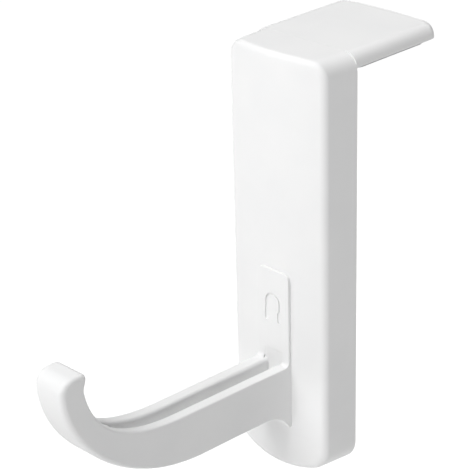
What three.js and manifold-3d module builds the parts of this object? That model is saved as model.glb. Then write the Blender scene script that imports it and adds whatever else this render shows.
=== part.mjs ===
// Headphone hook that hangs over the top edge of a screen or panel.
// Units are millimetres. +Z is up, +Y points back over the screen, -Y towards the user, +X to the right.
// Inside the assembly group Y = 0 is the foremost line of the cover and Z = 0 is the flat top.
// The group is then shifted so that the origin is the centre of the ledge pad's lower face.

import * as THREE from 'three';
import { mergeVertices } from 'three/addons/utils/BufferGeometryUtils.js';
import Module from 'manifold-3d';

const wasm = await Module();
wasm.setup();

// ---------------------------------------------------------------- driving dimensions

const GAP = 0.3; // clearance between neighbouring pieces

const BODY_WIDTH = 32;
const BODY_HEIGHT = 109;
const BODY_DEPTH = 11.6;
const BODY_CROWN = 1.8; // how far the front's side edges lie behind its middle
const BODY_DRAFT = Math.tan(THREE.MathUtils.degToRad(4.2));
const SHOULDER_RADIUS = 4.5;
const CHIN_RADIUS = 31.4; // the long arc along the bottom
const JAW_RADIUS = 6.5; // the two lower corners
const FRONT_FILLET = 1.5;
const WALL = 2.2;
const ROOF = 1.7;

const LEDGE_LENGTH = 29;
const LEDGE_WIDTH = 31.4;
const LEDGE_THICKNESS = 3.5;
const LEDGE_SIDE_ROUNDING = 3.2; // rolled upper edges along the sides
const LEDGE_REAR_ROUNDING = 0.8; // upper edge at the rear
const LEDGE_BREAK = 0.3; // lower edges
const LEDGE_CORNER = 2.2; // rear corners seen from above
const LEDGE_BOW = 0.5; // how far the rear edge bulges

const PLATE_THICKNESS = 2.8; // bracket's back plate
const SHELF_DEPTH = 4.6; // bracket's shelf under the cover's roof

const PAD_THICKNESS = 1;
const PAD_INSET = 2.2;
const PAD_CORNER = 2;

const HOOK_WIDTH = 10.3;
const HOOK_EDGE = 0.45; // rounding of the arm's long edges
const HOOK_PLATE_PROUD = 0.6; // base plate in front of the cover
const HOOK_PLATE_THICKNESS = 1.2;
const HOOK_PLATE_TOP = -54.6;
const HOOK_PLATE_BOTTOM = -96.2;
const HOOK_PLATE_TOP_CORNER = 1.8;
const HOOK_PLATE_BOTTOM_CORNER = 0.6;
const ARM_TAPER = 0.001; // share of the arm's width that it loses for each millimetre outwards
const ARM_TOP_AT_ROOT = -79.15;
const KNEE = [-9, -91.1]; // Y and Z of the place where the underside turns down to the plate

// The arm's curves in Y and Z. Each starts where the one before it ends, and lists two controls and its end.
const SEAT_START = [-36, -77.75];
const SEAT = [-49.5, -77.2, -61.2, -73.2, -63.9, -59.9];
const LIP_BACK = [-64.1, -58.8, -63.2, -57.8, -63.1, -56.6];
const LIP_CREST = [-63, -55.6, -63.7, -55, -64.7, -55];
const LIP_FRONT_START = [-66.6, -55];
const LIP_FRONT = [-68.9, -55, -70.4, -56.3, -70.4, -58.3];
const BELLY = [-70.4, -71.6, -55.7, -88.8, -30.5, -90.4];

const CHANNEL_WIDTH = 3.6;
const CHANNEL_FLARE = 1; // chamfer along the rails' inner edges
const CHANNEL_ROOT = -84.6; // height of the channel's floor at the plate
const CHANNEL_FLOOR_START = [-30.5, -83.4];
const CHANNEL_FLOOR = [-44, -82.9, -53, -79.2, -59, -72.5];

const HOOK_BOSS_RADIUS = 2.6;
const HOOK_BOSS_END = 6.2;
const HOOK_SCREW_HEIGHTS = { upper: -64, lower: -87 };
const SLEEVE_RADIUS = 4.6;
const SLEEVE_END = 6.5;
const SLEEVE_BORE = HOOK_BOSS_RADIUS + GAP;

const RIB_THICKNESS = 1.4;
const BOSS_RADIUS = 3;
const BRACKET_SCREW_SIDE = 8.2;
const BRACKET_SCREW_HEIGHTS = { upper: -13, lower: -96 };

const SCREW_ROOT_RADIUS = 0.95;
const SCREW_CREST_RADIUS = 1.25;
const SCREW_PITCH = 1.1;
const PILOT_RADIUS = SCREW_CREST_RADIUS + GAP;

const PLATE_FRONT = BODY_DEPTH - PLATE_THICKNESS;
const LEDGE_START = BODY_DEPTH + GAP;
const LEDGE_END = LEDGE_START + LEDGE_LENGTH;
const LEDGE_PAD_TOP = -LEDGE_THICKNESS - GAP;
const LEDGE_PAD_START = LEDGE_START + PAD_INSET;
const LEDGE_PAD_END = LEDGE_END - PAD_INSET;
const BACK_PAD = { half: 11.6, top: -8.5, bottom: -101, y: BODY_DEPTH + GAP };
const HEAD = {
  pan: { radius: 2.6, height: 1.2, sink: 1.7 },
  flange: { radius: 3.9, height: 1.3 },
};

// ---------------------------------------------------------------- solids and booleans

function toSolid(geometry) {
  const bare = geometry.index ? geometry.toNonIndexed() : geometry.clone();
  bare.deleteAttribute('normal');
  bare.deleteAttribute('uv');
  const merged = mergeVertices(bare, 1e-4);
  const mesh = new wasm.Mesh({
    numProp: 3,
    vertProperties: new Float32Array(merged.attributes.position.array),
    triVerts: new Uint32Array(merged.index.array),
  });
  return new wasm.Manifold(mesh);
}

function toGeometry(solid) {
  const mesh = solid.getMesh();
  const geometry = new THREE.BufferGeometry();
  geometry.setAttribute('position', new THREE.BufferAttribute(new Float32Array(mesh.vertProperties), 3));
  geometry.setIndex(new THREE.BufferAttribute(new Uint32Array(mesh.triVerts), 1));
  geometry.computeVertexNormals();
  return geometry;
}

function box(low, high) {
  const size = high.map((value, i) => value - low[i]);
  const middle = high.map((value, i) => (value + low[i]) / 2);
  return toSolid(new THREE.BoxGeometry(...size).translate(...middle));
}

// A round bar along Y from y0 to y1.
function barAlongY(radius, x, z, y0, y1, sides = 24) {
  const bar = new THREE.CylinderGeometry(radius, radius, y1 - y0, sides);
  return toSolid(bar.translate(x, (y0 + y1) / 2, z));
}

function meshOf(positions, triangles) {
  const geometry = new THREE.BufferGeometry();
  geometry.setAttribute('position', new THREE.BufferAttribute(new Float32Array(positions), 3));
  geometry.setIndex(triangles);
  return toSolid(geometry);
}

// A closed solid through rings with as many points each, from the lowest to the highest.
// Each ring is { outline, z } and runs anticlockwise seen from above.
function stack(rings) {
  const count = rings[0].outline.length;
  const topmost = (rings.length - 1) * count;
  const positions = rings.flatMap(({ outline, z }) => outline.flatMap(([x, y]) => [x, y, z]));
  const triangles = [];
  for (let start = 0; start < topmost; start += count) {
    for (let i = 0; i < count; i += 1) {
      const next = (i + 1) % count;
      const above = start + count;
      triangles.push(start + i, start + next, above + next, start + i, above + next, above + i);
    }
  }
  const fill = ({ outline }) => {
    const contour = outline.map(([x, y]) => new THREE.Vector2(x, y));
    return THREE.ShapeUtils.triangulateShape(contour, []);
  };
  for (const [a, b, c] of fill(rings[0])) {
    triangles.push(a, c, b);
  }
  for (const [a, b, c] of fill(rings.at(-1))) {
    triangles.push(topmost + a, topmost + b, topmost + c);
  }
  return meshOf(positions, triangles);
}

// The shape as a plain polygon, without points that nearly coincide where a line meets a curve.
function polygon(shape, curveSegments) {
  const points = shape.getPoints(curveSegments);
  const kept = points.filter((point, i) => point.distanceTo(points[(i + 1) % points.length]) > 0.01);
  return new THREE.Shape(kept);
}

// A shape drawn in X and Z, extruded along Y from y0 to y1.
function frontShape(shape, y0, y1, curveSegments = 6) {
  const outline = polygon(shape, curveSegments);
  const solid = new THREE.ExtrudeGeometry(outline, { depth: y1 - y0, bevelEnabled: false });
  return toSolid(solid.rotateX(Math.PI / 2).translate(0, y1, 0));
}

// A shape drawn in Y and Z, extruded along X and centred on X = 0.
function sideShape(shape, width, edge = 0, curveSegments = 10) {
  const solid = new THREE.ExtrudeGeometry(polygon(shape, curveSegments), {
    depth: width - 2 * edge,
    bevelEnabled: edge > 0,
    bevelThickness: edge,
    bevelSize: edge,
    bevelOffset: -edge,
    bevelSegments: 3,
  });
  solid.translate(0, 0, edge - width / 2);
  const yToZ = new THREE.Matrix4().makeBasis(
    new THREE.Vector3(0, 1, 0),
    new THREE.Vector3(0, 0, 1),
    new THREE.Vector3(1, 0, 0),
  );
  return toSolid(solid.applyMatrix4(yToZ));
}

// A rectangle whose two lower corners have radius low and whose two upper corners have radius high.
function roundedRectangle(x0, y0, x1, y1, low, high) {
  const shape = new THREE.Shape();
  shape.moveTo(x0 + low, y0);
  shape.lineTo(x1 - low, y0);
  shape.absarc(x1 - low, y0 + low, low, -Math.PI / 2, 0, false);
  shape.lineTo(x1, y1 - high);
  shape.absarc(x1 - high, y1 - high, high, 0, Math.PI / 2, false);
  shape.lineTo(x0 + high, y1);
  shape.absarc(x0 + high, y1 - high, high, Math.PI / 2, Math.PI, false);
  shape.lineTo(x0, y0 + low);
  shape.absarc(x0 + low, y0 + low, low, Math.PI, 1.5 * Math.PI, false);
  return shape;
}

// ---------------------------------------------------------------- the cover's outline

const SHOULDER_STEPS = 10;
const JAW_STEPS = 8;
const CHIN_STEPS = 5;

function arcPoints(cx, cy, radius, start, end, steps) {
  return Array.from({ length: steps + 1 }, (_, i) => {
    const angle = start + ((end - start) * i) / steps;
    return [cx + radius * Math.cos(angle), cy + radius * Math.sin(angle)];
  });
}

// Right half of the outline in X and Z, from the end of the flat top down to the lowest point on X = 0.
// It always has the same number of points, so that all insets match point for point.
function rightHalf(inset, topInset) {
  const side = BODY_WIDTH / 2 - inset;
  const shoulder = SHOULDER_RADIUS - Math.min(inset, topInset, SHOULDER_RADIUS - 1);
  const chinCentre = inset + CHIN_RADIUS - BODY_HEIGHT;
  const reach = Math.sqrt((CHIN_RADIUS - JAW_RADIUS) ** 2 - (side - JAW_RADIUS) ** 2);
  const turn = Math.atan2(-reach, side - JAW_RADIUS);
  const points = [
    ...arcPoints(side - shoulder, -topInset - shoulder, shoulder, Math.PI / 2, 0, SHOULDER_STEPS),
    ...arcPoints(side - JAW_RADIUS, chinCentre - reach, JAW_RADIUS, 0, turn, JAW_STEPS),
    ...arcPoints(0, chinCentre, CHIN_RADIUS, turn, -Math.PI / 2, CHIN_STEPS).slice(1),
  ];
  points.at(-1)[0] = 0;
  return points;
}

const CROWN_COLUMNS = 8;

function crownedDepth(x, y) {
  const share = x / (BODY_WIDTH / 2);
  return y + BODY_CROWN * share * share * (1 - y / BODY_DEPTH);
}

// Rows across the outline, each from left to right; the last row is the single lowest point.
function outlineRows(inset, topInset) {
  return rightHalf(inset, topInset).map(([x, z]) => {
    if (x === 0) {
      return [[0, z]];
    }
    return Array.from({ length: CROWN_COLUMNS + 1 }, (_, j) => [x * ((2 * j) / CROWN_COLUMNS - 1), z]);
  });
}

// A drafted, crowned body: one section for each { y, inset, topInset }, front to back.
function crownedBody(sections) {
  const positions = [];
  const triangles = [];
  const add = (x, y, z) => positions.push(x, y, z) / 3 - 1;

  const grids = [sections[0], sections.at(-1)].map(({ y, inset, topInset }) =>
    outlineRows(inset, topInset).map((row) => row.map(([x, z]) => add(x, crownedDepth(x, y), z))),
  );
  const edgeOf = (rows) => {
    const right = rows.slice(1).map((row) => row.at(-1));
    const left = rows.slice(1, -1).map((row) => row[0]);
    return [...rows[0], ...right, ...left.reverse()];
  };
  const fillGrid = (rows, facingFront) => {
    const emit = (a, b, c) => triangles.push(...(facingFront ? [a, b, c] : [a, c, b]));
    for (let i = 0; i + 1 < rows.length; i += 1) {
      const upper = rows[i];
      const lower = rows[i + 1];
      for (let j = 0; j + 1 < upper.length; j += 1) {
        if (lower.length === 1) {
          emit(upper[j], lower[0], upper[j + 1]);
        } else {
          emit(upper[j], lower[j], upper[j + 1]);
          emit(upper[j + 1], lower[j], lower[j + 1]);
        }
      }
    }
  };

  const middles = sections.slice(1, -1).map(({ y, inset, topInset }) => {
    const rows = outlineRows(inset, topInset);
    const edge = edgeOf(rows);
    return edge.map(([x, z]) => add(x, crownedDepth(x, y), z));
  });
  const rings = [edgeOf(grids[0]), ...middles, edgeOf(grids[1])];
  for (let k = 0; k + 1 < rings.length; k += 1) {
    const front = rings[k];
    const back = rings[k + 1];
    for (let i = 0; i < front.length; i += 1) {
      const next = (i + 1) % front.length;
      triangles.push(front[i], front[next], back[next], front[i], back[next], back[i]);
    }
  }
  fillGrid(grids[0], true);
  fillGrid(grids[1], false);

  return meshOf(positions, triangles);
}

function draftAt(y) {
  return (BODY_DEPTH - y) * BODY_DRAFT;
}

// ---------------------------------------------------------------- front cover

function coverSkin() {
  const sections = [];
  const filletSteps = 4;
  for (let i = 0; i <= filletSteps; i += 1) {
    const angle = (Math.PI / 2) * (i / filletSteps);
    const y = FRONT_FILLET * (1 - Math.cos(angle));
    const offset = FRONT_FILLET * (1 - Math.sin(angle));
    sections.push({ y, inset: offset + draftAt(y), topInset: offset });
  }
  sections.push({ y: BODY_DEPTH, inset: 0, topInset: 0 });
  return crownedBody(sections);
}

function coverHollow() {
  const back = BODY_DEPTH + 1;
  return crownedBody([
    { y: WALL, inset: WALL + draftAt(WALL) + 0.4, topInset: ROOF + 0.4 },
    { y: WALL + 0.6, inset: WALL + draftAt(WALL), topInset: ROOF },
    { y: back, inset: WALL + draftAt(back), topInset: ROOF },
  ]);
}

function basePlateOutline(grow) {
  const half = HOOK_WIDTH / 2 + grow;
  const low = HOOK_PLATE_BOTTOM_CORNER + grow;
  const high = HOOK_PLATE_TOP_CORNER + grow;
  return roundedRectangle(-half, HOOK_PLATE_BOTTOM - grow, half, HOOK_PLATE_TOP + grow, low, high);
}

function bracketScrewPlaces() {
  const places = [];
  for (const [level, z] of Object.entries(BRACKET_SCREW_HEIGHTS)) {
    for (const [side, sign] of [['left', -1], ['right', 1]]) {
      places.push({ name: `bracket_screw_${level}_${side}`, x: sign * BRACKET_SCREW_SIDE, z });
    }
  }
  return places;
}

function makeFrontCover() {
  const insideWall = 1.6; // bosses and ribs start inside the front wall
  const ribHalf = BODY_WIDTH / 2 - WALL; // ribs end inside the side walls
  const ribBack = SLEEVE_END - 0.5;
  let cover = coverSkin().subtract(coverHollow());

  for (const z of Object.values(HOOK_SCREW_HEIGHTS)) {
    const low = z - RIB_THICKNESS / 2;
    const high = z + RIB_THICKNESS / 2;
    cover = cover.add(box([-ribHalf, insideWall, low], [ribHalf, ribBack, high]));
    cover = cover.add(barAlongY(SLEEVE_RADIUS, 0, z, insideWall, SLEEVE_END));
  }
  const { upper, lower } = HOOK_SCREW_HEIGHTS;
  cover = cover.add(box([-RIB_THICKNESS / 2, insideWall, lower], [RIB_THICKNESS / 2, ribBack, upper]));
  for (const { x, z } of bracketScrewPlaces()) {
    cover = cover.add(barAlongY(BOSS_RADIUS, x, z, insideWall, PLATE_FRONT - GAP, 20));
  }

  const pocketFloor = HOOK_PLATE_THICKNESS - HOOK_PLATE_PROUD + GAP;
  cover = cover.subtract(frontShape(basePlateOutline(GAP), -1, pocketFloor));
  for (const z of Object.values(HOOK_SCREW_HEIGHTS)) {
    cover = cover.subtract(barAlongY(SLEEVE_BORE, 0, z, -1, SLEEVE_END + 1));
  }
  for (const { x, z } of bracketScrewPlaces()) {
    cover = cover.subtract(barAlongY(PILOT_RADIUS, x, z, WALL + 1, PLATE_FRONT, 16));
  }
  return cover;
}

// ---------------------------------------------------------------- rear bracket with the ledge

function bracketPlate() {
  const inset = WALL + draftAt(PLATE_FRONT) + GAP;
  const right = rightHalf(inset, ROOF + GAP);
  const left = right.slice(0, -1).map(([x, z]) => [-x, z]).reverse();
  const outline = new THREE.Shape([...right, ...left].map(([x, z]) => new THREE.Vector2(x, z)));
  return frontShape(outline, PLATE_FRONT, BODY_DEPTH);
}

// The ledge seen from above, in X and Y.
function ledgeOutline(sideInset, rearInset) {
  const half = LEDGE_WIDTH / 2 - sideInset;
  const rear = LEDGE_END - LEDGE_BOW - rearInset;
  const straightHalf = half - LEDGE_CORNER;
  const right = arcPoints(straightHalf, rear - LEDGE_CORNER, LEDGE_CORNER, 0, Math.PI / 2, 5);
  const left = right.map(([x, y]) => [-x, y]).reverse();
  const bow = [1, 2, 3, 4, 5].map((step) => {
    const t = step / 6;
    return [straightHalf * (1 - 2 * t), rear + 4 * LEDGE_BOW * t * (1 - t)];
  });
  return [[-half, LEDGE_START], [half, LEDGE_START], ...right, ...bow, ...left];
}

function ledgeSlab() {
  const rings = [];
  const breakSteps = 2;
  for (let i = 0; i <= breakSteps; i += 1) {
    const angle = ((Math.PI / 2) * i) / breakSteps;
    const inset = LEDGE_BREAK * (1 - Math.sin(angle));
    const z = LEDGE_BREAK * (1 - Math.cos(angle)) - LEDGE_THICKNESS;
    rings.push({ outline: ledgeOutline(inset, inset), z });
  }
  const sideSteps = 8;
  for (let i = 1; i <= sideSteps; i += 1) {
    const angle = ((Math.PI / 2) * i) / sideSteps;
    const z = -LEDGE_SIDE_ROUNDING * (1 - Math.sin(angle));
    const sideInset = LEDGE_SIDE_ROUNDING * (1 - Math.cos(angle));
    const rise = Math.max(0, 1 + z / LEDGE_REAR_ROUNDING);
    const rearInset = LEDGE_REAR_ROUNDING * (1 - Math.sqrt(1 - rise ** 2));
    rings.push({ outline: ledgeOutline(sideInset, rearInset), z });
  }
  return stack(rings);
}

function makeRearBracket() {
  const shelfTop = -ROOF - GAP;
  const neckHalf = BODY_WIDTH / 2 - SHOULDER_RADIUS;
  const shelf = box(
    [-neckHalf, PLATE_FRONT - SHELF_DEPTH, -LEDGE_THICKNESS],
    [neckHalf, LEDGE_START + 1, shelfTop],
  );
  let bracket = bracketPlate().add(shelf).add(ledgeSlab());

  const gusset = new THREE.Shape();
  const gussetFront = PLATE_FRONT - SHELF_DEPTH + 0.4;
  const gussetFoot = -LEDGE_THICKNESS - 7;
  gusset.moveTo(PLATE_FRONT + 1, shelfTop - 0.5);
  gusset.lineTo(gussetFront, shelfTop - 0.5);
  gusset.lineTo(gussetFront, -LEDGE_THICKNESS - 0.6);
  gusset.lineTo(PLATE_FRONT, gussetFoot);
  gusset.lineTo(PLATE_FRONT + 1, gussetFoot);
  const gussetPitch = 3.6;
  for (const side of [-1, 0, 1]) {
    bracket = bracket.add(sideShape(gusset, RIB_THICKNESS).translate([side * gussetPitch, 0, 0]));
  }

  // a hollow fillet under the ledge, where it meets the plate
  const filletRadius = 1.6;
  const filletEnd = BODY_DEPTH + filletRadius;
  const insidePlate = BODY_DEPTH - 0.5;
  const fillet = new THREE.Shape();
  fillet.moveTo(insidePlate, -LEDGE_THICKNESS + 0.5);
  fillet.lineTo(filletEnd, -LEDGE_THICKNESS + 0.5);
  fillet.lineTo(filletEnd, -LEDGE_THICKNESS);
  fillet.absarc(filletEnd, -LEDGE_THICKNESS - filletRadius, filletRadius, Math.PI / 2, Math.PI, false);
  fillet.lineTo(insidePlate, -LEDGE_THICKNESS - filletRadius);
  bracket = bracket.add(sideShape(fillet, 2 * neckHalf, 0, 6));

  for (const { x, z } of bracketScrewPlaces()) {
    bracket = bracket.subtract(barAlongY(PILOT_RADIUS, x, z, 0, BODY_DEPTH + 1, 16));
    const pocketFloor = BODY_DEPTH - HEAD.pan.sink;
    bracket = bracket.subtract(barAlongY(HEAD.pan.radius + GAP, x, z, pocketFloor, BODY_DEPTH + 1, 20));
  }
  return bracket;
}

// ---------------------------------------------------------------- hook

// Side view of the arm, from the root along its top, round the lip and back along the belly.
function armProfile() {
  const face = -HOOK_PLATE_PROUD;
  const root = face + HOOK_PLATE_THICKNESS - 0.05; // just inside the base plate
  const fillet = 1.3;
  const filletEnd = [face - fillet, ARM_TOP_AT_ROOT + 0.1];
  const foot = HOOK_PLATE_BOTTOM + 0.5;
  const profile = new THREE.Shape();
  profile.moveTo(root, ARM_TOP_AT_ROOT + fillet);
  profile.lineTo(face, ARM_TOP_AT_ROOT + fillet);
  profile.quadraticCurveTo(face, ARM_TOP_AT_ROOT, ...filletEnd);
  profile.lineTo(...SEAT_START);
  profile.bezierCurveTo(...SEAT);
  profile.bezierCurveTo(...LIP_BACK);
  profile.bezierCurveTo(...LIP_CREST);
  profile.lineTo(...LIP_FRONT_START);
  profile.bezierCurveTo(...LIP_FRONT);
  profile.bezierCurveTo(...BELLY);
  profile.lineTo(...KNEE);
  profile.quadraticCurveTo(face - 3.4, KNEE[1], face, foot);
  profile.lineTo(root, foot);
  return profile;
}

// Side view of the open channel between the arm's two rails.
function channelProfile() {
  const face = -HOOK_PLATE_PROUD;
  const open = -60; // anything above the seat
  const profile = new THREE.Shape();
  profile.moveTo(face, open);
  profile.lineTo(face, CHANNEL_ROOT);
  profile.lineTo(...CHANNEL_FLOOR_START);
  profile.bezierCurveTo(...CHANNEL_FLOOR);
  profile.lineTo(-57.5, open);
  return profile;
}

// The arm's upper side in Y and Z, from the plate out to the end of the channel.
function seatLine() {
  const controls = [...SEAT_START, ...SEAT];
  const points = [0, 2, 4, 6].map((i) => new THREE.Vector2(controls[i], controls[i + 1]));
  const seat = new THREE.CubicBezierCurve(...points).getPoints(24).filter((point) => point.y < -72);
  return [new THREE.Vector2(-HOOK_PLATE_PROUD, ARM_TOP_AT_ROOT + 0.1), ...seat];
}

// What the channel's flared mouth takes off: a shallow loft across the arm, deepest between the rails.
function channelMouth() {
  const line = seatLine();
  const normals = line.map((point, i) => {
    const before = line[Math.max(0, i - 1)];
    const after = line[Math.min(line.length - 1, i + 1)];
    const along = after.clone().sub(before).normalize();
    return new THREE.Vector2(-along.y, along.x);
  });
  const shifted = (distance) => line.map((point, i) => {
    const moved = normals[i].clone().multiplyScalar(distance).add(point);
    return [moved.x, moved.y];
  });
  const half = CHANNEL_WIDTH / 2;
  const clear = 0.01; // a hair above the rails, so that the chamfer ends cleanly
  const sections = [
    [-half - CHANNEL_FLARE, -clear],
    [-half, CHANNEL_FLARE],
    [half, CHANNEL_FLARE],
    [half + CHANNEL_FLARE, -clear],
  ];
  const rings = sections.map(([x, depth]) => ({
    outline: [...shifted(depth), ...shifted(-3).reverse()].reverse(),
    z: x,
  }));
  const turned = [[0, 1, 0, 0], [0, 0, 1, 0], [1, 0, 0, 0], [0, 0, 0, 1]]; // X, Y and Z become Y, Z and X
  return stack(rings).transform(turned.flat());
}

// Narrows the arm towards its tip.
function taper(vertex) {
  vertex[0] *= 1 + ARM_TAPER * Math.min(0, vertex[1]);
}

// A plain pair of headphones, drawn in X and Z: a bow on two legs, and two ear cups.
function pictogram() {
  const z = -63.2;
  const radius = 2.2;
  const line = 0.26;
  const foot = z - 2.6;
  const bow = new THREE.Shape();
  bow.absarc(0, z, radius + line, 0, Math.PI, false);
  bow.lineTo(-radius - line, foot);
  bow.lineTo(line - radius, foot);
  bow.absarc(0, z, radius - line, Math.PI, 0, true);
  bow.lineTo(radius - line, foot);
  bow.lineTo(radius + line, foot);
  const cups = [-1, 1].map((side) => {
    const middle = side * (radius - 0.15);
    return roundedRectangle(middle - 0.6, foot - 2.6, middle + 0.6, foot + 0.4, 0.45, 0.45);
  });
  return [bow, ...cups];
}

function makeHook() {
  const plateFront = -HOOK_PLATE_PROUD;
  const plateBack = plateFront + HOOK_PLATE_THICKNESS;
  const engraving = 0.35;
  let hook = frontShape(basePlateOutline(0), plateFront, plateBack);
  hook = hook.add(sideShape(armProfile(), HOOK_WIDTH, HOOK_EDGE, 12).warp(taper));
  hook = hook.subtract(sideShape(channelProfile(), CHANNEL_WIDTH)).subtract(channelMouth());
  for (const z of Object.values(HOOK_SCREW_HEIGHTS)) {
    hook = hook.add(barAlongY(HOOK_BOSS_RADIUS, 0, z, plateFront + 0.4, HOOK_BOSS_END, 20));
  }
  for (const z of Object.values(HOOK_SCREW_HEIGHTS)) {
    hook = hook.subtract(barAlongY(PILOT_RADIUS, 0, z, 0.6, HOOK_BOSS_END + 1, 16));
  }
  for (const shape of pictogram()) {
    hook = hook.subtract(frontShape(shape, plateFront - 1, plateFront + engraving));
  }
  return hook;
}

// ---------------------------------------------------------------- screws and pads

// A self-tapping screw along Y: its head bears on the plane Y = seat and its point is at Y = tip.
function makeScrew(head, seat, tip) {
  const length = seat - tip;
  const points = [new THREE.Vector2(0, 0), new THREE.Vector2(SCREW_ROOT_RADIUS, 0.9)];
  for (let y = 1.3; y + SCREW_PITCH < length - 0.3; y += SCREW_PITCH) {
    points.push(new THREE.Vector2(SCREW_ROOT_RADIUS, y));
    points.push(new THREE.Vector2(SCREW_CREST_RADIUS, y + 0.35 * SCREW_PITCH));
    points.push(new THREE.Vector2(SCREW_ROOT_RADIUS, y + 0.7 * SCREW_PITCH));
  }
  points.push(new THREE.Vector2(SCREW_ROOT_RADIUS, length));
  points.push(new THREE.Vector2(head.radius, length));
  points.push(new THREE.Vector2(head.radius, length + 0.45 * head.height));
  points.push(new THREE.Vector2(0.7 * head.radius, length + head.height));
  points.push(new THREE.Vector2(0, length + head.height));
  let screw = toSolid(new THREE.LatheGeometry(points, 16));
  const slot = 0.25;
  const reach = 1.5;
  const floor = length + 0.4 * head.height;
  const ceiling = length + head.height + 1;
  screw = screw.subtract(box([-reach, floor, -slot], [reach, ceiling, slot]));
  screw = screw.subtract(box([-slot, floor, -reach], [slot, ceiling, reach]));
  return screw;
}

function makeLedgePad() {
  const half = LEDGE_WIDTH / 2 - PAD_INSET;
  const plan = roundedRectangle(-half, LEDGE_PAD_START, half, LEDGE_PAD_END, PAD_CORNER, PAD_CORNER);
  const slab = new THREE.ExtrudeGeometry(polygon(plan, 6), { depth: PAD_THICKNESS, bevelEnabled: false });
  return toSolid(slab.translate(0, 0, LEDGE_PAD_TOP - PAD_THICKNESS));
}

function makeBackPad() {
  const { half, top, bottom, y } = BACK_PAD;
  const outline = roundedRectangle(-half, bottom, half, top, PAD_CORNER, PAD_CORNER);
  return frontShape(outline, y, y + PAD_THICKNESS);
}

// ---------------------------------------------------------------- scene graph

function plastic(color, roughness) {
  return new THREE.MeshStandardMaterial({ color, roughness, metalness: 0 });
}

const whitePlastic = () => plastic(0xf2f2f1, 0.42);
const foam = () => plastic(0x3a3b3d, 0.95);
const zincSteel = () => new THREE.MeshStandardMaterial({ color: 0xb9bcc0, roughness: 0.35, metalness: 0.9 });

const assembly = new THREE.Group();

function place(name, solid, material, position = [0, 0, 0]) {
  const mesh = new THREE.Mesh(toGeometry(solid), material);
  mesh.name = name;
  mesh.position.set(...position);
  assembly.add(mesh);
}

place('front_cover', makeFrontCover(), whitePlastic());
place('rear_bracket', makeRearBracket(), whitePlastic());
place('hook', makeHook(), whitePlastic());
place('ledge_pad', makeLedgePad(), foam());
place('back_pad', makeBackPad(), foam());

const hookScrewTip = 0.95;
for (const [level, z] of Object.entries(HOOK_SCREW_HEIGHTS)) {
  const screw = makeScrew(HEAD.flange, SLEEVE_END + GAP, hookScrewTip);
  place(`hook_screw_${level}`, screw, zincSteel(), [0, hookScrewTip, z]);
}

const bracketScrewTip = 3.6;
for (const { name, x, z } of bracketScrewPlaces()) {
  const screw = makeScrew(HEAD.pan, BODY_DEPTH - HEAD.pan.sink + GAP, bracketScrewTip);
  place(name, screw, zincSteel(), [x, bracketScrewTip, z]);
}

const headphoneHook = new THREE.Group();
assembly.position.set(0, -(LEDGE_PAD_START + LEDGE_PAD_END) / 2, PAD_THICKNESS - LEDGE_PAD_TOP);
headphoneHook.add(assembly);
headphoneHook.updateMatrixWorld(true);

export default headphoneHook;
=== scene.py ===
"""Looks of the headphone hook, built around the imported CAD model.

The pieces are modelled in millimetres, with Y = 0 on the cover's foremost line and Z = 0 on its flat top,
as in the CAD source. settle() then moves each one into the row frame, in metres.
"""

import math

import bmesh
import bpy
from mathutils import Matrix, Vector


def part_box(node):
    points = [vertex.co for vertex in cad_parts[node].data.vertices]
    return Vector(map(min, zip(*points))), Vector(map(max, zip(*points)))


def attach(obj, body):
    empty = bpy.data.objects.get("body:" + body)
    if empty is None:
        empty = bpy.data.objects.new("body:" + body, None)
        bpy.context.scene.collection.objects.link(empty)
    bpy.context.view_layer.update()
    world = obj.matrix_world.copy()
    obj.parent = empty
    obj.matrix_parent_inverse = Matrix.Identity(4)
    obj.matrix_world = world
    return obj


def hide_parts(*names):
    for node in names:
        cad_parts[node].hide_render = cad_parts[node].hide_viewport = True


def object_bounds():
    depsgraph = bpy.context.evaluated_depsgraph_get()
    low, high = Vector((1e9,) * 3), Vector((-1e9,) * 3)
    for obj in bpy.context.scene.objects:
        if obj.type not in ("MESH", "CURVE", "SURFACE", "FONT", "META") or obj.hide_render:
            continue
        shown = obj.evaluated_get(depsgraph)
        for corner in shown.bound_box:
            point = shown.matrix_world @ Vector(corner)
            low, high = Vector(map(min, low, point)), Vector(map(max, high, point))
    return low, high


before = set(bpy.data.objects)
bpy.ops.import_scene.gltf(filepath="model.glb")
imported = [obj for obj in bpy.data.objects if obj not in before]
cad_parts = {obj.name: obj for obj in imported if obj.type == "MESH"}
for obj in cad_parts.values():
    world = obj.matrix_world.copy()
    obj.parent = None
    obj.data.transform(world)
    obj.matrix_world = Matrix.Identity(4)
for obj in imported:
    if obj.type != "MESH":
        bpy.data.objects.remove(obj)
cad_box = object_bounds()

# ---------------------------------------------------------------- dimensions, in millimetres

BODY_WIDTH = 32
BODY_HEIGHT = 109
BODY_DEPTH = 11.6
BODY_CROWN = 1.8
BODY_DRAFT = math.tan(math.radians(4.2))
SHOULDER_RADIUS = 4.5
CHIN_RADIUS = 31.4
JAW_RADIUS = 6.5
FRONT_FILLET = 1.5
RIM_FILLET = 0.06
WALL = 2.2
ROOF = 1.7

LEDGE_START = 11.62  # the CAD leaves 0.3 here; moulded pieces pressed together show only a fine seam
LEDGE_END = 40.9
LEDGE_WIDTH = 31.4
LEDGE_THICKNESS = 3.5
LEDGE_SIDE_ROUNDING = 3.2
LEDGE_REAR_ROUNDING = 0.8
LEDGE_CORNER = 2.2
LEDGE_BOW = 0.5
LEDGE_BREAK = 0.3  # rounding of the ledge's other edges
GUSSET_SPACING = 3.6

PLATE_FRONT = 8.8
SHELF_FRONT = 4.2
SHELF_TOP = -2

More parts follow.
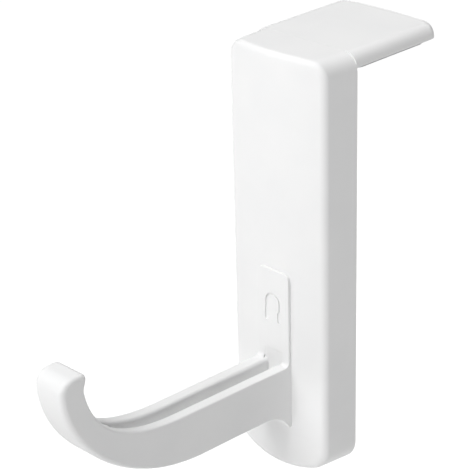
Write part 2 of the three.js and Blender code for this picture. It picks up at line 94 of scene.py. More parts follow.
HOOK_WIDTH = 10.3
HOOK_PLATE_FACE = -0.6
HOOK_PLATE_BACK = 0.6
HOOK_PLATE_TOP = -54.6
HOOK_PLATE_BOTTOM = -96.2
HOOK_PLATE_CORNER = 1.8
HOOK_SEAM = 0.015  # visible joint between the hook's plate and the cover
HOOK_PLATE_EDGE = 0.18  # rounding of the plate's front edges
ARM_TAPER = 0.001  # share of the arm's width that it loses for each millimetre outwards
ARM_TOP_AT_ROOT = -79.15
ROOT_RISE = 0.1  # by how much the arm's top has risen where its root fillet ends
ARM_EDGE = 0.45  # rounding of the arm's long edges near the plate
ARM_EDGE_GROWTH = 0.95  # what it gains round the outside of the tip
SEAT = [(-36, -77.75), (-49.5, -77.2), (-61.2, -73.2), (-63.9, -59.9)]  # Bezier controls in Y and Z
SEAT_STEPS = 44
LIP_BACK = [(-64.1, -58.8), (-63.2, -57.8), (-63.1, -56.6)]
LIP_CREST = [(-63, -55.6), (-63.7, -55), (-64.7, -55)]
LIP_FRONT = [(-66.6, -55), (-68.9, -55), (-70.4, -56.3), (-70.4, -58.3)]
BELLY = [(-70.4, -71.6), (-55.7, -88.8), (-30.5, -90.4)]
KNEE = (-9, -91.1)  # where the underside turns down to the plate
CURL_CENTRE = (-40, -50)  # the seat lies about 27 from it, the belly 32 and more
CHANNEL_WIDTH = 3.6
CHANNEL_MOUTH_ROUNDING = 1  # of the rails' inner edges
CHANNEL_ROOT = -84.6
CHANNEL_FLOOR = [(-30.5, -83.4), (-44, -82.9), (-53, -79.2), (-59, -72.5)]

HOOK_BOSS_RADIUS = 2.6
HOOK_BOSS_END = 6.2
HOOK_SCREW_HEIGHTS = (-64, -87)
SLEEVE_RADIUS = 4.6
SLEEVE_BORE = 2.9
SLEEVE_END = 6.5
RIB_THICKNESS = 1.4
BOSS_RADIUS = 3
BRACKET_SCREWS = [(x, z) for x in (-8.2, 8.2) for z in (-13, -96)]
PILOT_RADIUS = 1.55
HEAD_POCKET_RADIUS = 2.9
HEAD_POCKET_DEPTH = 1.7

PAD_CORNER = 2
PAD_BULGE = 0.12

CLEARANCE = 0.3  # between hidden faces of neighbouring pieces, as in the CAD
SHARP_ANGLE = 32  # edges steeper than this, in degrees, are shaded sharp

ROW_ORIGIN = Vector((0, 26.4, -4.8))  # centre of the ledge pad's lower face
MILLIMETRE = 0.001

# ---------------------------------------------------------------- curves


def arc(centre, radius, start, end, count):
    """Points on an arc, both ends included; the angles are in degrees."""
    points = []
    for i in range(count + 1):
        angle = math.radians(start + (end - start) * i / count)
        points.append((centre[0] + radius * math.cos(angle), centre[1] + radius * math.sin(angle)))
    return points


def bezier(controls, count):
    """Points on a Bezier curve of any degree, without its first one."""
    points = []
    degree = len(controls) - 1
    for i in range(1, count + 1):
        t = i / count
        weights = [math.comb(degree, k) * t**k * (1 - t) ** (degree - k) for k in range(degree + 1)]
        points.append(tuple(sum(w * c[axis] for w, c in zip(weights, controls)) for axis in (0, 1)))
    return points


def tidy(points, nearest=0.01):
    """The closed outline without points that nearly coincide."""
    return [p for i, p in enumerate(points) if math.dist(p, points[i - 1]) > nearest]


def rounded_rectangle(x0, y0, x1, y1, low, high, count=10):
    """A rectangle whose lower corners have radius low and whose upper corners have radius high."""
    points = arc((x1 - low, y0 + low), low, -90, 0, count)
    points += arc((x1 - high, y1 - high), high, 0, 90, count)
    points += arc((x0 + high, y1 - high), high, 90, 180, count)
    points += arc((x0 + low, y0 + low), low, 180, 270, count)
    return tidy(points)


# ---------------------------------------------------------------- meshes


def mesh_object(name, vertices, faces):
    mesh = bpy.data.meshes.new(name)
    mesh.from_pydata(vertices, [], faces)
    shape = bmesh.new()
    shape.from_mesh(mesh)
    bmesh.ops.remove_doubles(shape, verts=shape.verts, dist=0.001)
    bmesh.ops.recalc_face_normals(shape, faces=shape.faces)
    shape.to_mesh(mesh)
    shape.free()
    obj = bpy.data.objects.new(name, mesh)
    bpy.context.scene.collection.objects.link(obj)
    return obj


def prism(name, outline, axis, low, high):
    """A prism along axis; the outline is in the other two axes, in their alphabetical order."""
    spot = "xyz".index(axis)
    vertices = []
    for level in (low, high):
        for point in outline:
            vertex = list(point)
            vertex.insert(spot, level)
            vertices.append(vertex)
    count = len(outline)
    faces = [list(range(count)), list(range(count, 2 * count))]
    for i in range(count):
        after = (i + 1) % count
        faces.append((i, after, count + after, count + i))
    return mesh_object(name, vertices, faces)


def block(name, low, high):
    outline = [(low[0], low[1]), (high[0], low[1]), (high[0], high[1]), (low[0], high[1])]
    return prism(name, outline, "z", low[2], high[2])


def bar(radius, x, z, y0, y1):
    """A round bar along Y."""
    return prism("bar", arc((x, z), radius, 0, 360, 48)[:-1], "y", y0, y1)


def stack(name, rings):
    """A closed solid through rings with as many points each, capped at both ends."""
    count = len(rings[0])
    vertices = [point for ring in rings for point in ring]
    faces = [list(range(count)), list(range(len(vertices) - count, len(vertices)))]
    for k in range(len(rings) - 1):
        for i in range(count):
            after = (i + 1) % count
            faces.append((k * count + i, k * count + after, (k + 1) * count + after, (k + 1) * count + i))
    return mesh_object(name, vertices, faces)


def bake(obj):
    """Applies the object's modifiers to its mesh."""
    graph = bpy.context.evaluated_depsgraph_get()
    mesh = bpy.data.meshes.new_from_object(obj.evaluated_get(graph))
    obj.modifiers.clear()
    obj.data = mesh


def combine(target, tool, operation):
    """Joins, cuts or intersects the target with the tool, and removes the tool."""
    modifier = target.modifiers.new("combine", "BOOLEAN")
    modifier.operation = operation
    modifier.solver = "EXACT"
    modifier.object = tool
    bake(target)
    bpy.data.objects.remove(tool)


def rounded_prism(name, outline, half_width_at, radius_at, steps=6):
    """A prism along X of an outline in Y and Z.

    Its two rims are rounded by a radius that may vary along them.
    """
    count = len(outline)
    area = sum(p[0] * q[1] - q[0] * p[1] for p, q in zip(outline, outline[1:] + outline[:1]))
    turn = math.copysign(1, area)
    inwards = []
    for i in range(count):
        before = outline[i - 1]
        after = outline[(i + 1) % count]
        length = math.dist(before, after)
        inwards.append(((before[1] - after[1]) * turn / length, (after[0] - before[0]) * turn / length))
    rings = []
    for i in range(steps + 1):
        angle = math.pi / 2 * i / steps
        ring = []
        for (y, z), (normal_y, normal_z) in zip(outline, inwards):
            radius = radius_at(y, z)
            inset = radius * (1 - math.sin(angle))
            x = half_width_at(y) - radius * (1 - math.cos(angle))
            ring.append((x, y + inset * normal_y, z + inset * normal_z))
        rings.append(ring)
    mirrored = [[(-x, y, z) for x, y, z in ring] for ring in rings]
    return stack(name, rings + mirrored[::-1])


def round_edges(obj, radius, chosen, segments=4, least_angle=35):
    """Rounds the sharp edges whose middle is chosen."""
    shape = bmesh.new()
    shape.from_mesh(obj.data)
    weights = shape.edges.layers.float.new("bevel_weight_edge")
    for edge in shape.edges:
        if len(edge.link_faces) == 2 and edge.calc_face_angle(0) > math.radians(least_angle):
            middle = (edge.verts[0].co + edge.verts[1].co) / 2
            edge[weights] = 1 if chosen(middle) else 0
    shape.to_mesh(obj.data)
    shape.free()
    modifier = obj.modifiers.new("rounding", "BEVEL")
    modifier.limit_method = "WEIGHT"
    modifier.width = radius
    modifier.segments = segments
    modifier.use_clamp_overlap = False
    bake(obj)


def settle(obj, material, nodes):
    """Moves a finished piece into the row frame, shades it, hangs it under the root body and hides the CAD
    nodes it stands in for.
    """
    obj.data.transform(Matrix.Scale(MILLIMETRE, 4) @ Matrix.Translation(-ROW_ORIGIN))
    obj.data.materials.clear()
    obj.data.materials.append(material)
    obj.data.shade_smooth()
    obj.data.set_sharp_from_angle(angle=math.radians(SHARP_ANGLE))
    shading = obj.modifiers.new("shading", "WEIGHTED_NORMAL")
    shading.keep_sharp = True
    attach(obj, "root")
    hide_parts(*nodes)


# ---------------------------------------------------------------- front cover

SHOULDER_STEPS = 16
JAW_STEPS = 22
CHIN_STEPS = 16
CROWN_COLUMNS = 48


def right_half(inset, top_inset):
    """Right half of the cover's outline in X and Z, from the end of the flat top to the lowest point."""
    side = BODY_WIDTH / 2 - inset
    shoulder = SHOULDER_RADIUS - min(inset, top_inset, SHOULDER_RADIUS - 1)
    chin_centre = inset + CHIN_RADIUS - BODY_HEIGHT
    reach = math.sqrt((CHIN_RADIUS - JAW_RADIUS) ** 2 - (side - JAW_RADIUS) ** 2)
    turn = math.degrees(math.atan2(-reach, side - JAW_RADIUS))
    points = arc((side - shoulder, -top_inset - shoulder), shoulder, 90, 0, SHOULDER_STEPS)
    points += arc((side - JAW_RADIUS, chin_centre - reach), JAW_RADIUS, 0, turn, JAW_STEPS)
    points += arc((0, chin_centre), CHIN_RADIUS, turn, -90, CHIN_STEPS)[1:]
    points[-1] = (0, points[-1][1])
    return points


def draft_at(y):
    return (BODY_DEPTH - y) * BODY_DRAFT


def crowned(x, y, z):
    """The front bulges towards the user; the bulge fades out towards the flat rear plane."""
    share = x / (BODY_WIDTH / 2)
    return (x, y + BODY_CROWN * share**2 * max(0, 1 - y / BODY_DEPTH), z)


def crowned_body(name, sections):
    """A solid through sections (y, inset, top_inset), with a gridded front and a flat back."""
    first_y, first_inset, first_top = sections[0]
    rows = []
    for x, z in right_half(first_inset, first_top)[:-1]:
        steps = [x * (2 * j / CROWN_COLUMNS - 1) for j in range(CROWN_COLUMNS + 1)]
        rows.append([crowned(step, first_y, z) for step in steps])
    lowest = crowned(0, first_y, right_half(first_inset, first_top)[-1][1])

    vertices = [point for row in rows for point in row] + [lowest]
    width = CROWN_COLUMNS + 1
    last = len(vertices) - 1
    faces = []
    for i in range(len(rows) - 1):
        for j in range(CROWN_COLUMNS):
            upper = i * width + j
            faces.append((upper, upper + 1, upper + width + 1, upper + width))
    lowest_row = (len(rows) - 1) * width
    for j in range(CROWN_COLUMNS):
        faces.append((lowest_row + j, lowest_row + j + 1, last))

    top_edge = list(range(width))
    right_edge = [i * width + CROWN_COLUMNS for i in range(1, len(rows))]
    left_edge = [i * width for i in range(1, len(rows))]
    ring = top_edge + right_edge + [last] + left_edge[::-1]
    for y, inset, top_inset in sections[1:]:
        half = right_half(inset, top_inset)
        corner = half[0][0]
        top = [(corner * (2 * j / CROWN_COLUMNS - 1), half[0][1]) for j in range(width)]
        left = [(-x, z) for x, z in half[1:-1]]
        outline = top + half[1:] + left[::-1]
        start = len(vertices)
        vertices += [crowned(x, y, z) for x, z in outline]
        after = list(range(start, len(vertices)))
        for i in range(len(ring)):
            j = (i + 1) % len(ring)
            faces.append((ring[i], ring[j], after[j], after[i]))
        ring = after
    faces.append(ring)
    return mesh_object(name, vertices, faces)


def cover_skin():
    sections = []
    steps = 10
    for i in range(steps + 1):
        angle = math.pi / 2 * i / steps
        y = FRONT_FILLET * (1 - math.cos(angle))
        offset = FRONT_FILLET * (1 - math.sin(angle))
        sections.append((y, offset + draft_at(y), offset))
    for i in range(4):
        angle = math.pi / 2 * i / 3
        y = BODY_DEPTH - RIM_FILLET * (1 - math.sin(angle))
        offset = RIM_FILLET * (1 - math.cos(angle))
        sections.append((y, offset + draft_at(y), offset))
    return crowned_body("front_cover_shell", sections)


def cover_hollow():
    back = BODY_DEPTH + 1
    return crowned_body(
        "hollow",
        [
            (WALL, WALL + draft_at(WALL) + 0.4, ROOF + 0.4),
            (WALL + 0.2, WALL + draft_at(WALL) + 0.1, ROOF + 0.1),
            (WALL + 0.6, WALL + draft_at(WALL), ROOF),
            (back, WALL + draft_at(back), ROOF),
        ],
    )


def base_plate_outline(grow):
    half = HOOK_WIDTH / 2 + grow
    low = 0.6 + grow
    high = HOOK_PLATE_CORNER + grow
    return rounded_rectangle(-half, HOOK_PLATE_BOTTOM - grow, half, HOOK_PLATE_TOP + grow, low, high)


def make_front_cover():
    inside_wall = 1.6  # ribs and bosses start inside the front wall
    rib_half = BODY_WIDTH / 2 - WALL  # ribs end inside the side walls
    offset = 0.1  # keeps the faces of crossing ribs and sleeves out of one plane
    rib_back = SLEEVE_END - 0.5
    cover = cover_skin()
    combine(cover, cover_hollow(), "DIFFERENCE")
    upper, lower = HOOK_SCREW_HEIGHTS
    spine_low = (-RIB_THICKNESS / 2, inside_wall + offset, lower)
    spine_high = (RIB_THICKNESS / 2, rib_back - offset, upper)
    combine(cover, block("spine", spine_low, spine_high), "UNION")
    for z in HOOK_SCREW_HEIGHTS:
        low = z - RIB_THICKNESS / 2
        high = z + RIB_THICKNESS / 2
        combine(cover, block("rib", (-rib_half, inside_wall, low), (rib_half, rib_back, high)), "UNION")
        combine(cover, bar(SLEEVE_RADIUS, 0, z, inside_wall - offset, SLEEVE_END), "UNION")
    for x, z in BRACKET_SCREWS:
        combine(cover, bar(BOSS_RADIUS, x, z, inside_wall, PLATE_FRONT - CLEARANCE), "UNION")
    pocket = prism("pocket", base_plate_outline(HOOK_SEAM), "y", -1, HOOK_PLATE_BACK + CLEARANCE)
    combine(cover, pocket, "DIFFERENCE")
    for z in HOOK_SCREW_HEIGHTS:
        combine(cover, bar(SLEEVE_BORE, 0, z, -1, SLEEVE_END + 1), "DIFFERENCE")
    for x, z in BRACKET_SCREWS:
        combine(cover, bar(PILOT_RADIUS, x, z, WALL + 1, PLATE_FRONT), "DIFFERENCE")
    return cover


# ---------------------------------------------------------------- rear bracket with the ledge


def ledge_outline(side_inset, rear_inset):
    """The ledge seen from above, in X and Y."""
    half = LEDGE_WIDTH / 2 - side_inset
    corner = LEDGE_CORNER
    straight_end = LEDGE_END - LEDGE_BOW - rear_inset
    points = [(-half, LEDGE_START), (half, LEDGE_START)]
    points += arc((half - corner, straight_end - corner), corner, 0, 90, 14)
    rear = [(half - corner, straight_end), (0, straight_end + 2 * LEDGE_BOW), (corner - half, straight_end)]
    points += bezier(rear, 24)
    points += arc((corner - half, straight_end - corner), corner, 90, 180, 14)[1:]
    return points


def ledge_slab():
    """Sides with rolled upper edges, and a rear end that is only lightly rounded."""
    levels = []
    steps = 5
    for i in range(steps + 1):
        angle = math.pi / 2 * i / steps
        inset = LEDGE_BREAK * (1 - math.sin(angle))
        levels.append((LEDGE_BREAK * (1 - math.cos(angle)) - LEDGE_THICKNESS, inset, inset))
    steps = 18
    for i in range(steps + 1):
        angle = math.pi / 2 * i / steps
        z = -LEDGE_SIDE_ROUNDING * (1 - math.sin(angle))
        rise = max(0, 1 + z / LEDGE_REAR_ROUNDING)
        rear_inset = LEDGE_REAR_ROUNDING * (1 - math.sqrt(1 - rise**2))
        levels.append((z, LEDGE_SIDE_ROUNDING * (1 - math.cos(angle)), rear_inset))
    return stack("rear_bracket_body", [[(x, y, z) for x, y in ledge_outline(a, b)] for z, a, b in levels])


def make_rear_bracket():
    neck_half = BODY_WIDTH / 2 - SHOULDER_RADIUS
    bracket = ledge_slab()
    plate_half = right_half(WALL + draft_at(PLATE_FRONT) + 0.15, ROOF + 0.3)
    plate_outline = plate_half + [(-x, z) for x, z in plate_half[:-1]][::-1]
    combine(bracket, prism("plate", plate_outline, "y", PLATE_FRONT, BODY_DEPTH), "UNION")
    shelf_low = (-neck_half, SHELF_FRONT, -LEDGE_THICKNESS)
    shelf_high = (neck_half, LEDGE_START + 1, SHELF_TOP)
    combine(bracket, block("shelf", shelf_low, shelf_high), "UNION")

    root = PLATE_FRONT + 1
    low = -LEDGE_THICKNESS - 7
    gusset = [
        (root, SHELF_TOP - 0.5),
        (SHELF_FRONT + 0.4, SHELF_TOP - 0.5),
        (SHELF_FRONT + 0.4, -LEDGE_THICKNESS - 0.6),
        (PLATE_FRONT, low),
        (root, low),
    ]
    for x in (-GUSSET_SPACING, 0, GUSSET_SPACING):
        rib = prism("rib", gusset, "x", x - RIB_THICKNESS / 2, x + RIB_THICKNESS / 2)
        combine(bracket, rib, "UNION")

    radius = 1.6
    inside = BODY_DEPTH - 0.5
    corner = [(inside, -LEDGE_THICKNESS + 0.5), (BODY_DEPTH + radius, -LEDGE_THICKNESS + 0.5)]
    corner += arc((BODY_DEPTH + radius, -LEDGE_THICKNESS - radius), radius, 90, 180, 12)
    corner += [(inside, -LEDGE_THICKNESS - radius)]
    combine(bracket, prism("corner", corner, "x", -neck_half, neck_half), "UNION")

    for x, z in BRACKET_SCREWS:
        combine(bracket, bar(PILOT_RADIUS, x, z, 0, BODY_DEPTH + 1), "DIFFERENCE")
        pocket = bar(HEAD_POCKET_RADIUS, x, z, BODY_DEPTH - HEAD_POCKET_DEPTH, BODY_DEPTH + 1)
        combine(bracket, pocket, "DIFFERENCE")
    return bracket


# ---------------------------------------------------------------- hook


def hook_profile():
    """Side view of plate and arm, in Y and Z.

    It runs down the plate, out along the arm's top, round the lip and back underneath. The plate is
    drawn a little too tall here, and cut to its outline later.
    """
    face = HOOK_PLATE_FACE
    excess = 0.5
    fillet = 1.3
    foot = (face, HOOK_PLATE_BOTTOM + 0.5)
    points = [(HOOK_PLATE_BACK, HOOK_PLATE_TOP + excess), (face, HOOK_PLATE_TOP + excess)]
    root = [
        (face, ARM_TOP_AT_ROOT + fillet),
        (face, ARM_TOP_AT_ROOT),
        (face - fillet, ARM_TOP_AT_ROOT + ROOT_RISE),
    ]
    points += [root[0]] + bezier(root, 10)
    points += [SEAT[0]] + bezier(SEAT, SEAT_STEPS)
    points += bezier([SEAT[-1]] + LIP_BACK, 12)
    points += bezier([LIP_BACK[-1]] + LIP_CREST, 12)
    points += [LIP_FRONT[0]] + bezier(LIP_FRONT, 16)
    points += bezier([LIP_FRONT[-1]] + BELLY, 60)
    points += [KNEE] + bezier([KNEE, (face - 3.4, KNEE[1]), foot], 14)
    points += [(face, HOOK_PLATE_BOTTOM - excess), (HOOK_PLATE_BACK, HOOK_PLATE_BOTTOM - excess)]
    return tidy(points)


def channel_profile():
    """Side view of the open channel between the arm's two rails."""
    face = HOOK_PLATE_FACE
    high = -60  # in the open air inside the curl
    tip = -57.5
    points = [(face, high), (face, CHANNEL_ROOT), CHANNEL_FLOOR[0]]
    points += bezier(CHANNEL_FLOOR, 34)
    return points + [(tip, high)]


def channel_mouth():
    """What the rounding of the rails' inner edges takes off: a shallow loft across the arm."""
    channel_end = -72  # height on the seat by which the channel has run out
    clear = 0.01  # a hair above the rails, so that the rounding ends cleanly
    reach = 3  # of the loft above the rails
    line = [(HOOK_PLATE_FACE, ARM_TOP_AT_ROOT + ROOT_RISE), SEAT[0]]
    line += [point for point in bezier(SEAT, SEAT_STEPS) if point[1] < channel_end]
    downwards = []
    for i in range(len(line)):
        before = line[max(0, i - 1)]
        after = line[min(len(line) - 1, i + 1)]
        length = math.dist(before, after)
        downwards.append(((before[1] - after[1]) / length, (after[0] - before[0]) / length))

    def shifted(distance):
        return [(y + distance * v, z + distance * w) for (y, z), (v, w) in zip(line, downwards)]

    radius = CHANNEL_MOUTH_ROUNDING
    high = shifted(-reach)[::-1]
    rings = []
    steps = 8
    for i in range(steps + 1):
        angle = math.pi / 2 * i / steps
        x = CHANNEL_WIDTH / 2 + radius * (1 - math.sin(angle))
        depth = radius * (1 - math.cos(angle)) - clear
        rings.append([(x, y, z) for y, z in shifted(depth) + high])
    mirrored = [[(-x, y, z) for x, y, z in ring] for ring in rings]
    return stack("channel_mouth", rings + mirrored[::-1])


def ramp(value, start, length):
    """0 up to start, then rising to 1 over length."""
    return min(1, max(0, (value - start) / length))


def arm_half_width(y):
    return HOOK_WIDTH / 2 * (1 + ARM_TAPER * min(0, y))


def arm_rounding(y, z):
    """Radius of the arm's long edges: none on the plate, softest round the outside of the tip."""
    leaving_plate = ramp(-y, -HOOK_PLATE_FACE, 2)
    along = ramp(-y, 42, 22)
    outer = ramp(math.dist((y, z), CURL_CENTRE), 25, 5)
    lip = min(0.6, ramp(z, -61, 5))
    return leaving_plate * (ARM_EDGE + ARM_EDGE_GROWTH * along * max(outer, lip))


def on_plate_face(middle):
    tolerance = 0.05
    return abs(middle.y - HOOK_PLATE_FACE) < tolerance


def pictogram():
    """A plain pair of headphones, in X and Z: a bow on two legs, and two ear cups."""
    z = -63.2
    radius = 2.2
    line = 0.26
    leg = 2.6
    bow = arc((0, z), radius + line, 0, 180, 32)
    bow += [(-radius - line, z - leg), (-radius + line, z - leg)]
    bow += arc((0, z), radius - line, 180, 0, 32)
    bow += [(radius - line, z - leg), (radius + line, z - leg)]
    shapes = [bow]
    half = 0.6
    corner = 0.45
    low = z - leg - 2.6
    high = z - leg + 0.4
    for side in (-1, 1):
        middle = side * (radius - 0.15)
        shapes.append(rounded_rectangle(middle - half, low, middle + half, high, corner, corner))
    return shapes


def make_hook():
    engraving = 0.35
    hook = rounded_prism("hook_arm", hook_profile(), arm_half_width, arm_rounding)
    front_view = prism("front_view", base_plate_outline(0), "y", -80, HOOK_PLATE_BACK + 1)
    combine(hook, front_view, "INTERSECT")
    channel = prism("channel", channel_profile(), "x", -CHANNEL_WIDTH / 2, CHANNEL_WIDTH / 2)
    combine(hook, channel, "DIFFERENCE")
    combine(hook, channel_mouth(), "DIFFERENCE")
    round_edges(hook, HOOK_PLATE_EDGE, on_plate_face)
    for z in HOOK_SCREW_HEIGHTS:
        combine(hook, bar(HOOK_BOSS_RADIUS, 0, z, 0, HOOK_BOSS_END), "UNION")
        combine(hook, bar(PILOT_RADIUS, 0, z, 0.6, HOOK_BOSS_END + 1), "DIFFERENCE")
    for shape in pictogram():
        cutter = prism("pictogram", shape, "y", HOOK_PLATE_FACE - 1, HOOK_PLATE_FACE + engraving)
        combine(hook, cutter, "DIFFERENCE")
    return hook


# ---------------------------------------------------------------- foam pads


def foam_pad(name, low, high, axis):
    """A slab of foam tape between low and high, thin along axis, with a soft bulge round its edge."""
    thickness = high[axis] - low[axis]
    others = [i for i in range(3) if i != axis]
    rings = []
    steps = 8
    for i in range(steps + 1):
        share = i / steps
        inset = PAD_BULGE * (2 * share - 1) ** 2
        outline = rounded_rectangle(
            low[others[0]] + inset,
            low[others[1]] + inset,
            high[others[0]] - inset,
            high[others[1]] - inset,
            PAD_CORNER,
            PAD_CORNER,
        )
        ring = []
        for a, b in outline:
            point = [a, b]
            point.insert(axis, low[axis] + thickness * share)
            ring.append(point)
        rings.append(ring)
    return stack(name, rings)


def cad_corners(node):
    """The node's box in modelling millimetres."""
    return [corner / MILLIMETRE + ROW_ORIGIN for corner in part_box(node)]


# ---------------------------------------------------------------- materials


def add_node(tree, kind, **inputs):
    """A node of that kind; the inputs are values, or other nodes' output sockets."""
    node = tree.nodes.new(kind)
    for name, value in inputs.items():
        socket = node.inputs[name.replace("_", " ")]
        if isinstance(value, bpy.types.NodeSocket):
            tree.links.new(value, socket)
        else:
            socket.default_value = value
    return node


def noise(tree, place, size, detail=3.0, roughness=0.5):
    """Noise between about 0.3 and 0.7 whose cells are size millimetres wide."""
    node = add_node(tree, "ShaderNodeTexNoise", Vector=place, Scale=1 / (size * MILLIMETRE), Detail=detail)
    node.inputs["Roughness"].default_value = roughness
    return node.outputs["Fac"]


def blend(tree, factor, first, second):
    """A colour between first and second."""
    node = tree.nodes.new("ShaderNodeMix")
    node.data_type = "RGBA"
    tree.links.new(factor, node.inputs["Factor"])
    node.inputs["A"].default_value = (*first, 1)
    node.inputs["B"].default_value = (*second, 1)
    return node.outputs["Result"]


def spread(tree, factor, low, high, from_low=0.3, from_high=0.7):
    """The factor stretched to run from low to high."""
    node = add_node(tree, "ShaderNodeMapRange", Value=factor)
    node.inputs["From Min"].default_value = from_low
    node.inputs["From Max"].default_value = from_high
    node.inputs["To Min"].default_value = low
    node.inputs["To Max"].default_value = high
    return node.outputs["Result"]


def bump(tree, height, distance, strength, below=None):
    """A bump that is distance millimetres deep, laid over the bump below it."""
    depth = distance * MILLIMETRE
    node = add_node(tree, "ShaderNodeBump", Height=height, Strength=strength, Distance=depth)
    if below is not None:
        tree.links.new(below, node.inputs["Normal"])
    return node.outputs["Normal"]


def new_material(name, viewport_colour):
    material = bpy.data.materials.new(name)
    material.use_nodes = True
    material.diffuse_color = (*viewport_colour, 1)
    tree = material.node_tree
    shader = tree.nodes["Principled BSDF"]
    place = tree.nodes.new("ShaderNodeTexCoord").outputs["Object"]
    return material, tree, shader, place


def white_abs():
    """Satin moulded ABS: a very fine spark texture, faint flow marks and a slightly uneven gloss."""
    material, tree, shader, place = new_material("white_abs", (0.88, 0.88, 0.875))
    shader.inputs["IOR"].default_value = 1.5
    shader.inputs["Specular IOR Level"].default_value = 0.42
    clouds = noise(tree, place, 14, detail=2)
    grain = noise(tree, place, 0.22, detail=4, roughness=0.6)
    peel = noise(tree, place, 1.6, detail=2)
    colour = blend(tree, spread(tree, clouds, 0, 1), (0.865, 0.867, 0.868), (0.89, 0.89, 0.888))
    tree.links.new(colour, shader.inputs["Base Color"])
    tree.links.new(spread(tree, grain, 0.4, 0.56), shader.inputs["Roughness"])
    soft = bump(tree, peel, 0.02, 0.25)
    fine = bump(tree, grain, 0.012, 0.35, soft)
    tree.links.new(fine, shader.inputs["Normal"])
    return material


def foam_tape():
    """Dark closed-cell foam: small round cells in a dull skin; each cell's pit is painted darker as painted
    shade, over patches of uneven tone.
    """
    material, tree, shader, place = new_material("foam_tape", (0.045, 0.046, 0.05))
    cells = tree.nodes.new("ShaderNodeTexVoronoi")
    cells.inputs["Scale"].default_value = 1 / (0.35 * MILLIMETRE)
    tree.links.new(place, cells.inputs["Vector"])
    distance = cells.outputs["Distance"]
    pits = spread(tree, distance, 0, 1, 0.05, 0.6)
    patches = noise(tree, place, 5, detail=3)
    # colour factor: the cells' pits painted darker (painted shade in the hollows), times patches of random
    # tone
    pit_shade_and_patches = add_node(tree, "ShaderNodeMath", Value=pits)
    pit_shade_and_patches.operation = "MULTIPLY"
    tree.links.new(spread(tree, patches, 0.75, 1), pit_shade_and_patches.inputs[1])
    colour = blend(tree, pit_shade_and_patches.outputs["Value"], (0.02, 0.02, 0.022), (0.062, 0.063, 0.067))
    tree.links.new(colour, shader.inputs["Base Color"])
    tree.links.new(spread(tree, patches, 0.86, 0.97), shader.inputs["Roughness"])
    tree.links.new(bump(tree, pits, 0.06, 0.8), shader.inputs["Normal"])
    return material


def zinc_steel():
    """Zinc-plated screw steel: fine scratches and a patchy plating."""
    material, tree, shader, place = new_material("zinc_steel", (0.62, 0.63, 0.65))
    shader.inputs["Metallic"].default_value = 1
    patches = noise(tree, place, 1.5, detail=4)
    scratches = noise(tree, place, 0.12, detail=3)
    colour = blend(tree, spread(tree, patches, 0, 1), (0.55, 0.56, 0.58), (0.68, 0.69, 0.7))
    tree.links.new(colour, shader.inputs["Base Color"])
    tree.links.new(spread(tree, scratches, 0.25, 0.42), shader.inputs["Roughness"])
    tree.links.new(bump(tree, scratches, 0.01, 0.4), shader.inputs["Normal"])
    return material


def stage_paper():
    """Plain pale studio paper that glows white; the glow is dimmer right under the object, a painted
    shadow.
    """
    material, tree, shader, place = new_material("stage_paper", (1, 1, 1))
    shader.inputs["Base Color"].default_value = (0.9, 0.9, 0.9, 1)
    shader.inputs["Roughness"].default_value = 0.9
    shader.inputs["Specular IOR Level"].default_value = 0.1
    shader.inputs["Emission Color"].default_value = (1, 1, 1, 1)
    level = add_node(tree, "ShaderNodeVectorMath", Vector=place)
    level.operation = "MULTIPLY"
    level.inputs[1].default_value = (1, 1, 0)
    away = add_node(tree, "ShaderNodeVectorMath", Vector=level.outputs["Vector"])
    away.operation = "LENGTH"
    # glow dimmer near the axis: a painted shadow on the floor under the object
    glow = spread(tree, away.outputs["Value"], FLOOR_GLOW_NEAR, FLOOR_GLOW, *FLOOR_FADE)
    tree.links.new(glow, shader.inputs["Emission Strength"])
    return material


# ---------------------------------------------------------------- pieces

white = white_abs()
foam = foam_tape()
steel = zinc_steel()

settle(make_front_cover(), white, ["front_cover"])
settle(make_rear_bracket(), white, ["rear_bracket"])
settle(make_hook(), white, ["hook"])

for node, axis in (("ledge_pad", 2), ("back_pad", 1)):
    low, high = cad_corners(node)
    pad = foam_pad(f"{node}_foam", low, high, axis)
    settle(pad, foam, [node])

for node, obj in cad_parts.items():
    if "screw" in node:
        obj.data.materials.clear()
        obj.data.materials.append(steel)

# ---------------------------------------------------------------- stage and lights

FLOOR_GLOW = 0.96
# glow right under the object, kept low as a painted shadow
FLOOR_GLOW_NEAR = 0.3
FLOOR_FADE = (0.7, 1.15)  # distances from the axis between which the glow changes, in metres
FLOOR_DROP = 0.8  # the object hangs this far above the floor, in metres
WORLD_GLOW = 0.02

# name, direction from the object's middle, distance and side of the square in metres, power in watts
LIGHTS = [
    ("key", (-0.2, -0.6, 1), 1.3, 1.0, 10.8),
    ("wide", (-0.1, -0.5, 1), 1.3, 2.2, 5.2),
    ("front", (0.2, -0.9, 0.7), 1.3, 1.0, 5.3),
    ("rear", (0, 0.5, 0.9), 1.3, 1.2, 5.7),
]


def object_middle():
    low, high = cad_box
    return (low + high) / 2


def make_stage():
    half = 8
    corner = 0.5
    thickness = 0.02
    height = cad_box[0].z - FLOOR_DROP
    outline = rounded_rectangle(-half, -half, half, half, corner, corner)
    floor = prism("floor", outline, "z", height - thickness, height)
    floor.data.materials.append(stage_paper())


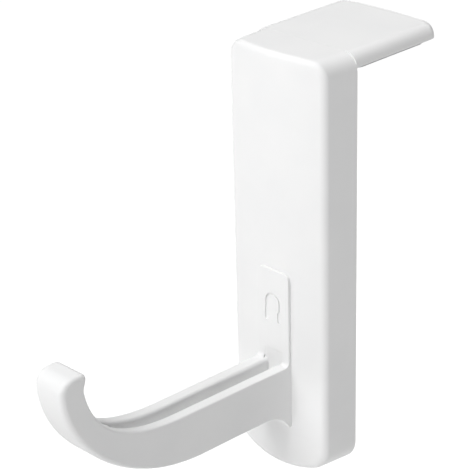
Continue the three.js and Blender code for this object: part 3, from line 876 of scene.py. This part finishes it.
def make_lights():
    world = bpy.data.worlds.new("studio")
    world.use_nodes = True
    background = world.node_tree.nodes["Background"]
    background.inputs["Color"].default_value = (1, 1, 1, 1)
    background.inputs["Strength"].default_value = WORLD_GLOW
    bpy.context.scene.world = world
    middle = object_middle()
    for name, direction, distance, side, power in LIGHTS:
        light = bpy.data.lights.new(name, "AREA")
        light.shape = "SQUARE"
        light.size = side
        light.energy = power
        lamp = bpy.data.objects.new(name, light)
        bpy.context.scene.collection.objects.link(lamp)
        away = Vector(direction).normalized()
        lamp.location = middle + away * distance
        lamp.rotation_euler = away.to_track_quat("Z", "Y").to_euler()


# ---------------------------------------------------------------- camera

CAMERA_AZIMUTH = 45.424  # degrees to the right of straight ahead
CAMERA_ELEVATION = 24.951
CAMERA_ROLL = -1.427
CAMERA_DISTANCE = 444.044  # from the point that it was fitted around
CAMERA_TARGET = Vector((0, 0, -60))
CAMERA_OFFSET = (9.369, -13.048)  # of the view's middle from that point, to the right and up
CAMERA_LENS = 142.13
CAMERA_SENSOR = 36


def make_camera():
    azimuth = math.radians(CAMERA_AZIMUTH)
    elevation = math.radians(CAMERA_ELEVATION)
    roll = math.radians(CAMERA_ROLL)
    level = math.cos(elevation)
    back = Vector((math.sin(azimuth) * level, -math.cos(azimuth) * level, math.sin(elevation)))
    right = Vector((math.cos(azimuth), math.sin(azimuth), 0))
    up = back.cross(right)
    rolled_right = math.cos(roll) * right + math.sin(roll) * up
    rolled_up = math.cos(roll) * up - math.sin(roll) * right
    place = CAMERA_TARGET - CAMERA_OFFSET[0] * rolled_right - CAMERA_OFFSET[1] * rolled_up
    place += CAMERA_DISTANCE * back

    data = bpy.data.cameras.new("camera")
    data.lens = CAMERA_LENS
    data.sensor_width = CAMERA_SENSOR
    data.clip_start = 0.01
    data.clip_end = 50
    camera = bpy.data.objects.new("camera", data)
    bpy.context.scene.collection.objects.link(camera)
    axes = Matrix((rolled_right, rolled_up, back)).transposed()
    camera.matrix_world = Matrix.Translation((place - ROW_ORIGIN) * MILLIMETRE) @ axes.to_4x4()
    bpy.context.scene.camera = camera


make_stage()
make_lights()
make_camera()
bpy.context.scene.view_settings.view_transform = "Standard"
